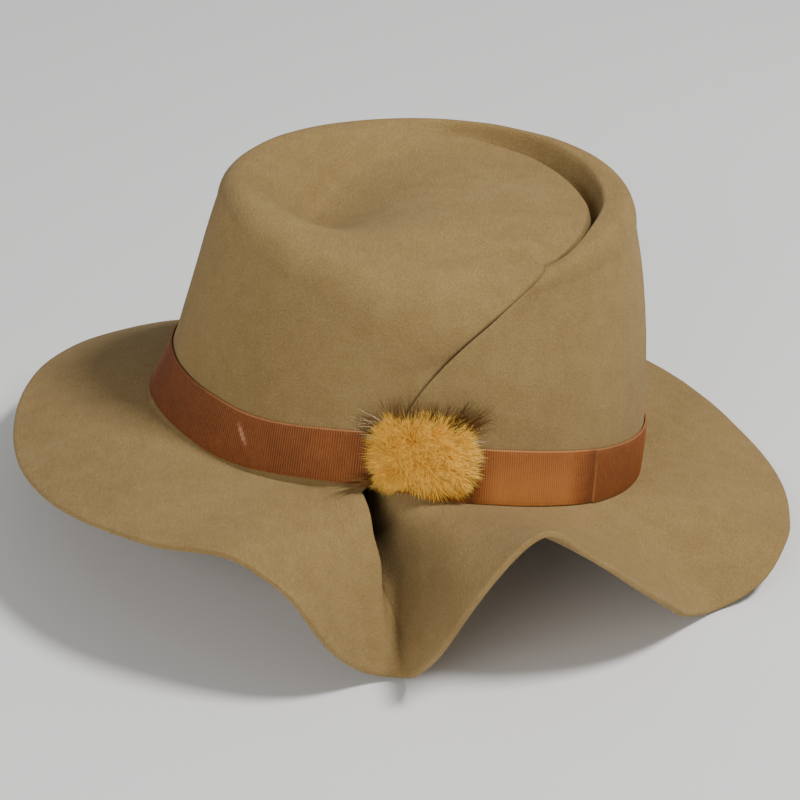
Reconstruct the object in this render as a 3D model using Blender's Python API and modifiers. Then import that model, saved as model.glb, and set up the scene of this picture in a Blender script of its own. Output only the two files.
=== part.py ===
# Wool felt hat: a blocked crown with a wrapped fold, a waved brim, a ribbon and a patch of fur.
# Lengths are in metres, angles in degrees. The hat is first drawn on its head band: z = 0 is the
# line where crown and brim meet, the front is -Y, and bearings run anticlockwise from +X.
# At the end it is tipped onto the three lowest waves of its brim, as it rests on a table.

import math

import bmesh
import bpy
from mathutils import Matrix, Vector

crown_length = 0.203      # left to right, outside, at the head band
crown_width = 0.170       # front to back, outside, at the head band
crown_height = 0.102      # head band to the highest part of the rim
crown_lean_x = 0.004      # how far the top stands to the right of the head band
crown_lean_y = 0.002
brim_width = 0.064        # measured along the felt, at the places with width 1 below
felt_thickness = 0.0024

ribbon_height = 0.0215
ribbon_thickness = 0.0008
ribbon_rise = 0.0016      # lower edge above the crown's foot
seat_gap = 0.0003         # between pieces that lie on each other

fur_bearing = -84.5       # where the middle of the patch sits
fur_width = 0.041
fur_height = 0.030
fur_rise = 0.0190         # middle of the patch above the crown's foot
fur_skin = 0.0020         # thickness of the hide under the locks
lock_length = 0.0085
lock_radius = 0.0034
lock_tip = 0.0010
locks_across = 7
locks_up = 5

felt_columns_round = 60   # mesh density
ribbon_levels = 4
brim_steps = 9
wall_steps = 14
top_steps = 9

# The felt is one sheet. It is drawn as columns from the brim's edge up to the middle of the top,
# and the columns go once round the crown, from the upper side of the fold to its lower side.
# The fold is the line where the sheet meets itself: down the crown from the rim to the band,
# height is a share of the local rim height.
fold_columns = ("height", "bearing")
fold_rows = [
    (0.00, -97), (0.10, -93), (0.30, -91), (0.40, -89), (0.50, -86), (0.60, -82),
    (0.70, -77), (0.80, -71), (0.90, -64), (0.96, -59), (1.00, -55),
]

# Crown, by bearing at the rim. ridge, shoulder and groove are shares of crown_height; taper,
# ledge and foot are shares of the head band's oval: taper where the wall ends, ledge how far the
# shoulder turns in, foot where the inner slope reaches the floor of the top.
crown_columns = ("bearing", "ridge", "taper", "shoulder", "ledge", "foot", "groove")
crown_rows = [
    (-55, 0.893, 0.878, 0.080, 0.050, 0.62, 0.000),
    (-40, 0.925, 0.872, 0.090, 0.060, 0.62, 0.045),
    (-27, 0.955, 0.868, 0.100, 0.070, 0.62, 0.060),
    (0,   0.975, 0.865, 0.100, 0.070, 0.62, 0.070),
    (35,  1.005, 0.865, 0.100, 0.070, 0.60, 0.055),
    (70,  1.010, 0.865, 0.120, 0.085, 0.55, 0.020),
    (110, 1.000, 0.865, 0.130, 0.100, 0.50, 0.000),
    (150, 0.985, 0.860, 0.120, 0.085, 0.45, 0.000),
    (185, 0.970, 0.855, 0.110, 0.080, 0.45, 0.000),
    (214, 0.945, 0.850, 0.110, 0.085, 0.45, 0.000),
    (228, 0.915, 0.852, 0.110, 0.090, 0.45, 0.000),
    (240, 0.882, 0.865, 0.110, 0.110, 0.44, 0.000),
    (254, 0.868, 0.880, 0.130, 0.160, 0.42, 0.000),
    (266, 0.862, 0.900, 0.160, 0.210, 0.40, 0.000),
    (280, 0.862, 0.920, 0.270, 0.290, 0.42, 0.000),
    (290, 0.868, 0.925, 0.350, 0.300, 0.48, 0.000),
    (299, 0.880, 0.915, 0.380, 0.200, 0.55, 0.000),
    (305, 0.893, 0.900, 0.330, 0.095, 0.62, 0.000),
]

# Brim, by bearing at the head band: width is a share of brim_width, the leans are degrees below
# level next to the crown and at the edge, and drop is how far the crown's foot lies below the
# head band there, as a share of crown_height.
brim_columns = ("bearing", "width", "lean_in", "lean_out", "drop")
brim_rows = [
    (-97, 1.10, 56, 40, 0.000),
    (-92, 1.10, 62, 42, 0.000),
    (-87, 1.10, 60, 50, 0.000),
    (-83, 1.09, 38, 42, 0.003),
    (-79, 1.05, 11, 17, 0.008),
    (-74, 1.01, -5, -7, 0.016),
    (-68, 1.01, -9, -25, 0.031),
    (-61, 1.03, -7, -9, 0.051),
    (-49, 1.02, 4, 15, 0.086),
    (-37, 0.98, 14, 40, 0.123),
    (-31, 1.00, 15, 41, 0.139),
    (-25, 1.04, 6, 26, 0.153),
    (-18, 1.06, 0, 14, 0.167),
    (-8,  1.03, -1, 15, 0.181),
    (6,   0.98, -1, 16, 0.186),
    (20,  0.93, -1, 15, 0.172),
    (41,  0.95, 0, 14, 0.132),
    (70,  0.98, 3, 13, 0.078),
    (95,  0.98, 10, 23, 0.039),
    (115, 0.99, 13, 28, 0.020),
    (138, 1.00, 11, 22, 0.005),
    (165, 1.00, 9, 17, 0.000),
    (192, 1.00, 11, 23, 0.000),
    (210, 1.00, 9, 17, 0.003),
    (234, 1.00, 3, 7, 0.018),
    (251, 1.02, 2, 4, 0.004),
    (258, 1.08, 12, 20, 0.000),
    (263, 1.10, 22, 46, 0.000),
    (268, 1.10, 38, 62, 0.000),
    (274, 1.10, 44, 66, 0.000),
]

# Where the fold runs on down the brim; run is the share of the way from the band to the edge.
pleat_columns = ("run", "bearing")
pleat_rows = [(0.0, -97), (0.35, -95), (0.7, -89), (1.0, -85)]

# Floor of the top: its height as a share of crown_height, and its dents. x, y and the sizes are
# shares of half the crown's length and width, depth is a share of crown_height.
floor_level = 0.935
floor_columns = ("x", "y", "size_x", "size_y", "depth")
floor_dents = [
    (-0.50, 0.02, 0.28, 0.42, 0.15),
    (0.25, -0.62, 0.22, 0.20, 0.03),
]


fold_bearing = -55.0      # the fold at the rim
pleat_bearing = -97.0     # the fold at the head band
fold_run = 3.4            # degrees in which the sheet steps down from its upper to its lower side
crowding = 0.65           # how much closer the columns stand near the fold

# Bearings between which the brim's three lowest waves are looked for.
resting_waves = [(-125, -78), (-60, 5), (80, 160)]


def row_at(names, rows, at):
    """Smooth reading of a table at a value of its first column."""
    last = len(rows) - 1
    i = 0
    while i < last - 1 and rows[i + 1][0] < at:
        i += 1
    step = [rows[j + 1][0] - rows[j][0] for j in range(last)]
    width = step[i]
    s = (at - rows[i][0]) / width
    s = min(max(s, 0.0), 1.0)
    out = {}
    for c, name in enumerate(names[1:], 1):
        rate = [(rows[j + 1][c] - rows[j][c]) / step[j] for j in range(last)]
        def slope(j):
            if j == 0:
                return rate[0]
            if j == last:
                return rate[-1]
            return (rate[j - 1] * step[j] + rate[j] * step[j - 1]) / (step[j - 1] + step[j])
        out[name] = (rows[i][c] * (2 * s ** 3 - 3 * s ** 2 + 1)
                     + rows[i + 1][c] * (3 * s ** 2 - 2 * s ** 3)
                     + slope(i) * width * (s ** 3 - 2 * s ** 2 + s)
                     + slope(i + 1) * width * (s ** 3 - s ** 2))
    return out


def ease(x):
    x = min(max(x, 0.0), 1.0)
    return x * x * (3 - 2 * x)


def oval(bearing, share):
    a = math.radians(bearing)
    return crown_length / 2 * share * math.cos(a), crown_width / 2 * share * math.sin(a)


def outward(bearing):
    a = math.radians(bearing)
    x, y = math.cos(a) / crown_length, math.sin(a) / crown_width
    n = math.hypot(x, y)
    return x / n, y / n


def floor_at(x, y):
    z = floor_level
    for row in floor_dents:
        d = dict(zip(floor_columns, row))
        z -= d["depth"] * math.exp(-((x - d["x"]) / d["size_x"]) ** 2 - ((y - d["y"]) / d["size_y"]) ** 2)
    return z


def crown_profile(bearing, walls, tops):
    """(share of the foot oval, share of the height) from the foot to the middle of the top."""
    r = row_at(crown_columns, crown_rows, bearing)
    a = math.radians(bearing)
    turn = r["ridge"] - r["shoulder"]
    ridge_share = r["taper"] - r["ledge"]
    points = []
    for i in range(walls + 1):
        level = r["ridge"] * math.sin(math.pi / 2 * i / walls) ** 0.9
        if level <= turn:
            share = 1 - (1 - r["taper"]) * (level / turn) ** 1.15
        else:
            rise = min((level - turn) / r["shoulder"], 1)
            share = r["taper"] - r["ledge"] * (1 - math.sqrt(1 - rise * rise))
        points.append((share, level))
    for i in range(1, tops + 1):
        share = ridge_share * (1 - (i / tops) ** 1.2)
        level = floor_at(share * math.cos(a), share * math.sin(a))
        level = r["ridge"] + (level - r["ridge"]) * ease((ridge_share - share) / (ridge_share - r["foot"]))
        g = (ridge_share - share) / 0.07
        points.append((share, level - max(r["groove"], 0) * g * g * math.exp(1 - g * g)))
    return points


def brim_profile(bearing, steps):
    """(distance from the foot, height) from the foot to the edge."""
    r = row_at(brim_columns, brim_rows, bearing)
    length = r["width"] * brim_width / steps
    out = 0.0
    z = -r["drop"] * crown_height
    points = []
    for i in range(steps):
        lean = math.radians(r["lean_in"] + (r["lean_out"] - r["lean_in"]) * (i + 0.5) / steps)
        out += length * math.cos(lean)
        z -= length * math.sin(lean)
        points.append((out, z))
    return points


def felt_grid(columns, brims, walls, tops):
    """Outer face of the felt, column by column round the crown from fold to fold."""
    grid = []
    for i in range(columns + 1):
        v = i / columns
        v -= crowding * math.sin(2 * math.pi * v) / (2 * math.pi)
        near = (1 + math.cos(2 * math.pi * v)) / 2
        rim = fold_bearing + (360 - fold_run) * v
        line = []
        for k in reversed(range(brims)):
            on_pleat = row_at(pleat_columns, pleat_rows, (k + 1) / brims)["bearing"]
            foot = rim + (on_pleat - fold_bearing) * near
            x, y = oval(foot, 1)
            nx, ny = outward(foot)
            d, z = brim_profile(foot, brims)[k]
            line.append((x + nx * d, y + ny * d, z))
        for j, (share, level) in enumerate(crown_profile(rim, walls, tops)):
            top = row_at(crown_columns, crown_rows, rim)["ridge"]
            t = 1.0 if j > walls else min(level / top, 1.0)
            on_fold = row_at(fold_columns, fold_rows, t)["bearing"]
            around = rim + (on_fold - fold_bearing) * near
            drop = row_at(brim_columns, brim_rows, around)["drop"] * (1 - t)
            x, y = oval(around, share)
            z = (level - drop) * crown_height
            line.append((x + crown_lean_x * t, y + crown_lean_y * t, z))
        grid.append(line)
    return grid


def felt_body(grid):
    """One sheet of felt over the grid, closed along the fold, with its thickness inside."""
    bm = bmesh.new()
    middle = bm.verts.new(grid[0][-1])
    lines = [[bm.verts.new(p) for p in line[:-1]] for line in grid]
    first, last = lines[0], lines[-1]
    for j, vert in enumerate(last):
        if (vert.co - first[j].co).length < seat_gap:
            bm.verts.remove(vert)
            last[j] = first[j]
    for a, b in zip(lines, lines[1:] + lines[:1]):
        corners = [(a[j], b[j], b[j + 1], a[j + 1]) for j in range(len(a) - 1)]
        corners.append((a[-1], b[-1], middle))
        for ring in corners:
            ring = list(dict.fromkeys(ring))
            if len(ring) > 2:
                bm.faces.new(ring)
    thing = new_object("felt_body", bm, felt_material)
    solid = thing.modifiers.new("felt", "SOLIDIFY")
    solid.thickness = felt_thickness
    solid.offset = -1
    solid.use_even_offset = False
    solid.use_quality_normals = True
    return thing


def wall_loop(grid, height):
    """Outline of the crown wall at a height above the crown's foot."""
    loop = []
    for line in grid[:-1]:
        wall = line[brim_steps:]
        level = wall[0][2] + height
        j = next(k for k, p in enumerate(wall) if p[2] > level)
        low, high = Vector(wall[j - 1]), Vector(wall[j])
        loop.append(low.lerp(high, (level - low.z) / (high.z - low.z)))
    return loop


def swell(loop, by):
    """The loop moved outward, square to itself, in plan."""
    moved = []
    for i, p in enumerate(loop):
        along = loop[(i + 1) % len(loop)] - loop[i - 1]
        moved.append(p + Vector((along.y, -along.x, 0)).normalized() * by)
    return moved


def ribbon_loops(grid):
    """Outlines of the ribbon's inner face and outer face, each from its lower edge up."""
    heights = [ribbon_rise + ribbon_height * i / ribbon_levels for i in range(ribbon_levels + 1)]
    return [[swell(wall_loop(grid, height), out) for height in heights]
            for out in (seat_gap, seat_gap + ribbon_thickness)]


def ribbon_band(loops):
    bm = bmesh.new()
    inner, outer = loops
    rings = [[bm.verts.new(p) for p in loop] for loop in inner + outer[::-1]]
    count = len(rings[0])
    for ring, upper in zip(rings, rings[1:] + rings[:1]):
        for i in range(count):
            k = (i + 1) % count
            bm.faces.new((ring[i], upper[i], upper[k], ring[k]))
    return new_object("ribbon_band", bm, ribbon_material)


def across_loop(loop, bearing):
    """Where a line from the middle of the hat crosses the loop, and the outward direction there."""
    a = math.radians(bearing)
    dx, dy = math.cos(a), math.sin(a)
    for p, q in zip(loop, loop[1:] + loop[:1]):
        before, after = dx * p.y - dy * p.x, dx * q.y - dy * q.x
        if before <= 0 < after and dx * p.x + dy * p.y > 0:
            along = q - p
            return p.lerp(q, before / (before - after)), Vector((along.y, -along.x, 0)).normalized()


def on_ribbon(loops, x, out, up):
    """Point x along the ribbon from the middle of the fur, out from its face, up from the foot."""
    face = loops[1]
    bearing = fur_bearing + math.degrees(x / across_loop(face[0], fur_bearing)[0].length)
    level = (up - ribbon_rise) / ribbon_height * ribbon_levels
    k = min(max(int(level), 0), ribbon_levels - 1)
    low, away = across_loop(face[k], bearing)
    high = across_loop(face[k + 1], bearing)[0]
    return low.lerp(high, level - k) + away * (out + seat_gap)


def fur_patch(loops):
    """A strip of hide bent round the ribbon, with locks of fur fused to it."""
    bm = bmesh.new()
    count = 20
    rings = []
    for out, size in ((0, 0.27), (0, 0.54), (0, 0.80), (fur_skin, 0.80), (fur_skin * 1.6, 0.45)):
        ring = []
        for i in range(count):
            a = math.tau * i / count
            c, s = math.cos(a), math.sin(a)
            x = math.copysign(abs(c) ** 0.6, c) * size * fur_width / 2
            z = math.copysign(abs(s) ** 0.6, s) * size * fur_height / 2
            ring.append(bm.verts.new(on_ribbon(loops, x, out, fur_rise + z)))
        rings.append(ring)
    for ring, outer in zip(rings, rings[1:]):
        for i in range(count):
            k = (i + 1) % count
            bm.faces.new((ring[i], ring[k], outer[k], outer[i]))
    for ring, out in ((rings[0], 0), (rings[-1], fur_skin * 1.7)):
        hub = bm.verts.new(on_ribbon(loops, 0, out, fur_rise))
        for i in range(count):
            bm.faces.new((ring[i], ring[(i + 1) % count], hub))
    bmesh.ops.recalc_face_normals(bm, faces=bm.faces)
    hide = new_object("fur_patch", bm, fur_material)

    bm = bmesh.new()
    for row in range(locks_up):
        for column in range(locks_across):
            u = 2 * (column + 0.25 + 0.5 * (row % 2)) / locks_across - 1
            w = 2 * (row + 0.5) / locks_up - 1
            sway = 0.16 * math.sin(2.1 * column + 3.7 * row)
            x, z = u * 0.36 * fur_width, w * 0.34 * fur_height
            here = on_ribbon(loops, x, 0, fur_rise + z)
            side = (on_ribbon(loops, x + 0.001, 0, fur_rise + z) - here).normalized()
            rise = (on_ribbon(loops, x, 0, fur_rise + z + 0.001) - here).normalized()
            away = side.cross(rise).normalized()
            lean = (away + side * (1.5 * u + sway) + rise * (1.3 * w - sway)).normalized()
            root = here + away * (lock_radius * math.sqrt(1 - lean.dot(away) ** 2) + fur_skin / 4)
            turn = lean.to_track_quat("Z", "Y").to_matrix().to_4x4()
            place = Matrix.Translation(root + lean * lock_length / 2) @ turn
            bmesh.ops.create_cone(bm, cap_ends=True, segments=5, radius1=lock_radius,
                                  radius2=lock_tip, depth=lock_length, matrix=place)
    locks = new_object("fur_locks", bm, fur_material, tools)
    joined = hide.modifiers.new("locks", "BOOLEAN")
    joined.operation = "UNION"
    joined.solver = "EXACT"
    joined.use_self = True
    joined.object = locks
    return hide


def new_object(name, bm, material, collection=None):
    mesh = bpy.data.meshes.new(name)
    bm.to_mesh(mesh)
    bm.free()
    mesh.materials.append(material)
    mesh.shade_smooth()
    mesh.set_sharp_from_angle(angle=math.radians(50))
    thing = bpy.data.objects.new(name, mesh)
    (collection or hat).objects.link(thing)
    if collection:
        thing.hide_render = True
        thing.display_type = "WIRE"
    return thing


def new_material(name, colour, roughness):
    material = bpy.data.materials.new(name)
    material.use_nodes = True
    shader = material.node_tree.nodes["Principled BSDF"]
    shader.inputs["Base Color"].default_value = (*colour, 1)
    shader.inputs["Roughness"].default_value = roughness
    shader.inputs["Metallic"].default_value = 0
    return material


def evaluated_points(thing):
    seen = thing.evaluated_get(bpy.context.evaluated_depsgraph_get())
    return [v.co.copy() for v in seen.data.vertices]


def resting_pose(things):
    """The move that stands the hat on the lowest point of each of its three resting waves."""
    points = evaluated_points(things[0])
    waves = []
    for start, end in resting_waves:
        waves.append([p for p in points if p.z < 0
                      and start <= math.degrees(math.atan2(p.y, p.x)) <= end])
    up = Vector((0, 0, 1))
    for _ in range(8):
        a, b, c = [min(wave, key=lambda p: p.dot(up)) for wave in waves]
        up = (b - a).cross(c - a).normalized()
        up = up if up.z > 0 else -up
    turn = up.rotation_difference(Vector((0, 0, 1))).to_matrix().to_4x4()
    turned = [turn @ p for thing in things for p in evaluated_points(thing)]
    low = Vector([min(p[i] for p in turned) for i in range(3)])
    high = Vector([max(p[i] for p in turned) for i in range(3)])
    middle = (low + high) / 2
    return Matrix.Translation((-middle.x, -middle.y, -low.z)) @ turn


def new_collection(name):
    collection = bpy.data.collections.new(name)
    bpy.context.scene.collection.children.link(collection)
    return collection


for old in list(bpy.data.objects):
    bpy.data.objects.remove(old, do_unlink=True)
hat = new_collection("wool_felt_hat")
tools = new_collection("joining_shapes")
felt_material = new_material("wool_felt", (0.36, 0.26, 0.13), 0.95)
ribbon_material = new_material("grosgrain_ribbon", (0.27, 0.085, 0.03), 0.75)
fur_material = new_material("golden_fur", (0.55, 0.29, 0.10), 0.8)

grid = felt_grid(felt_columns_round, brim_steps, wall_steps, top_steps)
loops = ribbon_loops(grid)
pieces = [felt_body(grid), ribbon_band(loops), fur_patch(loops)]
stand = bpy.data.objects.new("resting_stand", None)
hat.objects.link(stand)
stand.matrix_world = resting_pose(pieces)
for thing in pieces + list(tools.objects):
    thing.parent = stand
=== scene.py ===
# Wool felt hat: a crown wrapped into a fold, a waved brim, a ribbed ribbon and a patch of fur.
# Metres and degrees. Shapes are worked out on the head band (z = 0 where crown and brim meet,
# front at -Y, bearings anticlockwise from +X) and then laid on the table with onTable.
import math

import bmesh
import bpy
import numpy as np
from mathutils import Matrix, Vector, noise


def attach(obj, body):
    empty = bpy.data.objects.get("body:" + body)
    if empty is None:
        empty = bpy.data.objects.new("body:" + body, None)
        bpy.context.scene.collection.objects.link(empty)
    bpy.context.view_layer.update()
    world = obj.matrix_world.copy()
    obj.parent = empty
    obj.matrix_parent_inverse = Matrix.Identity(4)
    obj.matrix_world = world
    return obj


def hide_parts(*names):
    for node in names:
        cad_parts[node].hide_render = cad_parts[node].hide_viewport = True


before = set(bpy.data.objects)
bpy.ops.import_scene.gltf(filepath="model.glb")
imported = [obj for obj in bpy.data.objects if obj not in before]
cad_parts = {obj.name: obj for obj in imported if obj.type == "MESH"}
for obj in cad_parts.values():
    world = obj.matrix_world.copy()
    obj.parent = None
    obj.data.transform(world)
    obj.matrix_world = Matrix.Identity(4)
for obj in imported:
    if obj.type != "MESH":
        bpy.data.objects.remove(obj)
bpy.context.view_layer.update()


# how the hat lies on the table, and how the photograph looks at it

view = {
    "bandCentre": (0.000029, 0.004190, 0.042057),   # the head band's middle above the table
    "upward": (-0.053792, -0.128329, 0.990272),     # the table's up, seen from the head band
    "elevation": 25,          # of the camera over the head band
    "roll": 4.5,
    "distance": 1.1,
    "target": (0, 0, 0.02),
    "lens": 118.35,
    "shift": (-0.0075, -0.05),
}


def addObject(name, data):
    thing = bpy.data.objects.new(name, data)
    bpy.context.scene.collection.objects.link(thing)
    return thing


def onTable():
    turn = Vector(view["upward"]).rotation_difference(Vector((0, 0, 1)))
    return Matrix.Translation(view["bandCentre"]) @ turn.to_matrix().to_4x4()


def addCamera():
    up = math.radians(view["elevation"])
    back = Vector((0, -math.cos(up), math.sin(up)))
    right = Vector((1, 0, 0))
    place = Matrix((right, back.cross(right), back)).transposed().to_4x4()
    place.translation = Vector(view["target"]) + back * view["distance"]
    camera = addObject("camera", bpy.data.cameras.new("camera"))
    camera.data.lens = view["lens"]
    camera.data.sensor_width = 36
    camera.data.shift_x, camera.data.shift_y = view["shift"]
    camera.data.clip_start = 0.05
    camera.matrix_world = onTable() @ place @ Matrix.Rotation(math.radians(view["roll"]), 4, "Z")
    bpy.context.scene.camera = camera


addCamera()
print("camera placed")


# small helpers that every piece uses

def smooth(x):
    x = np.clip(x, 0.0, 1.0)
    return x * x * (3 - 2 * x)


def unit(v):
    return v / np.maximum(np.linalg.norm(v, axis=-1, keepdims=True), 1e-12)


def readTable(rows, at):
    # smooth reading of a table's other columns at values of its first column
    table = np.array(rows, float)
    key, values = table[:, 0], table[:, 1:]
    step = np.diff(key)[:, None]
    rate = np.diff(values, axis=0) / step
    inner = (rate[:-1] * step[1:] + rate[1:] * step[:-1]) / (step[:-1] + step[1:])
    slope = np.vstack([rate[:1], inner, rate[-1:]])
    at = np.asarray(at, float)
    i = np.searchsorted(key[1:-1], at)
    s = np.clip((at - key[i]) / step[i, 0], 0, 1)[..., None]
    out = values[i] * (2 * s ** 3 - 3 * s ** 2 + 1) + values[i + 1] * (3 * s ** 2 - 2 * s ** 3)
    out += step[i] * (slope[i] * (s ** 3 - 2 * s ** 2 + s) + slope[i + 1] * (s ** 3 - s ** 2))
    return np.moveaxis(out, -1, 0)


def makePiece(name, points, faces, material, replaced):
    mesh = bpy.data.meshes.new(name)
    mesh.from_pydata(np.asarray(points, float).tolist(), [], [list(map(int, f)) for f in faces])
    mesh.transform(onTable())
    mesh.materials.append(material)
    mesh.shade_smooth()
    piece = addObject(name, mesh)
    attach(piece, "root")
    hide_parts(*replaced)
    return piece


def addAttribute(piece, name, values):
    layer = piece.data.attributes.new(name, "FLOAT", "POINT")
    layer.data.foreach_set("value", np.asarray(values, np.float32).ravel())


def weld(piece, reach=0.00002):
    shape = bmesh.new()
    shape.from_mesh(piece.data)
    bmesh.ops.remove_doubles(shape, verts=shape.verts, dist=reach)
    shape.to_mesh(piece.data)
    shape.free()


# node tools

def newMaterial(name, roughness):
    material = bpy.data.materials.new(name)
    material.use_nodes = True
    tree = material.node_tree
    shader = tree.nodes["Principled BSDF"]
    shader.inputs["Metallic"].default_value = 0
    shader.inputs["Roughness"].default_value = roughness
    return material, tree, shader


def addNode(tree, kind, inputs=None, **settings):
    node = tree.nodes.new(kind)
    for key, value in settings.items():
        setattr(node, key, value)
    for key, value in (inputs or {}).items():
        socket = node.inputs[key]
        if isinstance(value, bpy.types.NodeSocket):
            tree.links.new(value, socket)
        else:
            socket.default_value = value
    return node


def addMath(tree, operation, *values):
    return addNode(tree, "ShaderNodeMath", dict(enumerate(values)), operation=operation).outputs[0]


def mixColours(tree, factor, a, b):
    node = addNode(tree, "ShaderNodeMix", data_type="RGBA")
    for socket, value in ((node.inputs[0], factor), (node.inputs[6], a), (node.inputs[7], b)):
        if isinstance(value, bpy.types.NodeSocket):
            tree.links.new(value, socket)
        else:
            socket.default_value = (*value, 1) if isinstance(value, tuple) else value
    return node.outputs[2]


def blendIn(tree, colour, mask, share, added):
    # puts that share of another colour in where the mask is 1
    return mixColours(tree, addMath(tree, "MULTIPLY", mask, share), colour, added)


def ramp(tree, value, low, high):
    # 0 below low, 1 above high
    node = addNode(tree, "ShaderNodeMapRange", {"Value": value, "From Min": low, "From Max": high})
    return node.outputs["Result"]


def addNoise(tree, place, scale, detail, distortion=0.0):
    inputs = {"Vector": place, "Scale": scale, "Detail": detail, "Distortion": distortion}
    return addNode(tree, "ShaderNodeTexNoise", inputs).outputs["Fac"]


def objectPlace(tree):
    return addNode(tree, "ShaderNodeTexCoord").outputs["Object"]


def readAttribute(tree, name):
    return addNode(tree, "ShaderNodeAttribute", attribute_name=name).outputs["Fac"]


def setSockets(shader, values):
    for key, value in values.items():
        shader.inputs[key].default_value = value


def newGroup(name, takes, gives):
    group = bpy.data.node_groups.new(name, "ShaderNodeTree")
    for label, value in takes.items():
        kind = "NodeSocketVector" if value is None else "NodeSocketFloat"
        socket = group.interface.new_socket(label, in_out="INPUT", socket_type=kind)
        if value is not None:
            socket.default_value = value
    for label in gives:
        group.interface.new_socket(label, in_out="OUTPUT", socket_type="NodeSocketFloat")
    return group, group.nodes.new("NodeGroupInput"), group.nodes.new("NodeGroupOutput")


def useGroup(tree, group, values):
    return addNode(tree, "ShaderNodeGroup", values, node_tree=group)


def mottleGroup():
    # broad, uneven tone: large clouds broken up by smaller ones
    group, entry, result = newGroup("mottle", {"Place": None, "Scale": 30.0, "Breakup": 0.5}, ["Tone"])
    place, scale = entry.outputs["Place"], entry.outputs["Scale"]
    broad = addNoise(group, place, scale, 3.0)
    small = addNoise(group, place, addMath(group, "MULTIPLY", scale, 6.3), 4.0)
    mixed = addNode(group, "ShaderNodeMix", {0: entry.outputs["Breakup"], 2: broad, 3: small})
    group.links.new(mixed.outputs[0], result.inputs["Tone"])
    return group


def fibreGroup():
    # short crossing fibres: three noises, each stretched along its own direction
    group, entry, result = newGroup("fibres", {"Place": None, "Scale": 900.0}, ["Fibres", "Grain"])
    place, scale = entry.outputs["Place"], entry.outputs["Scale"]
    layers = []
    for turn, lift in ((0.4, 0.2), (1.5, 1.1), (2.5, 2.3)):
        bent = addNode(group, "ShaderNodeMapping", {
            "Vector": place, "Rotation": (lift, turn, turn + lift), "Scale": (1, 0.16, 1)})
        layers.append(addNoise(group, bent.outputs[0], scale, 2.0, 0.6))
    most = addMath(group, "MAXIMUM", layers[0], addMath(group, "MAXIMUM", layers[1], layers[2]))
    group.links.new(ramp(group, most, 0.5, 0.75), result.inputs["Fibres"])
    group.links.new(addNoise(group, place, scale, 5.0), result.inputs["Grain"])
    return group


mottle = mottleGroup()
fibres = fibreGroup()


# felt: one sheet drawn as columns from the brim's edge to the middle of the top

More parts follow.
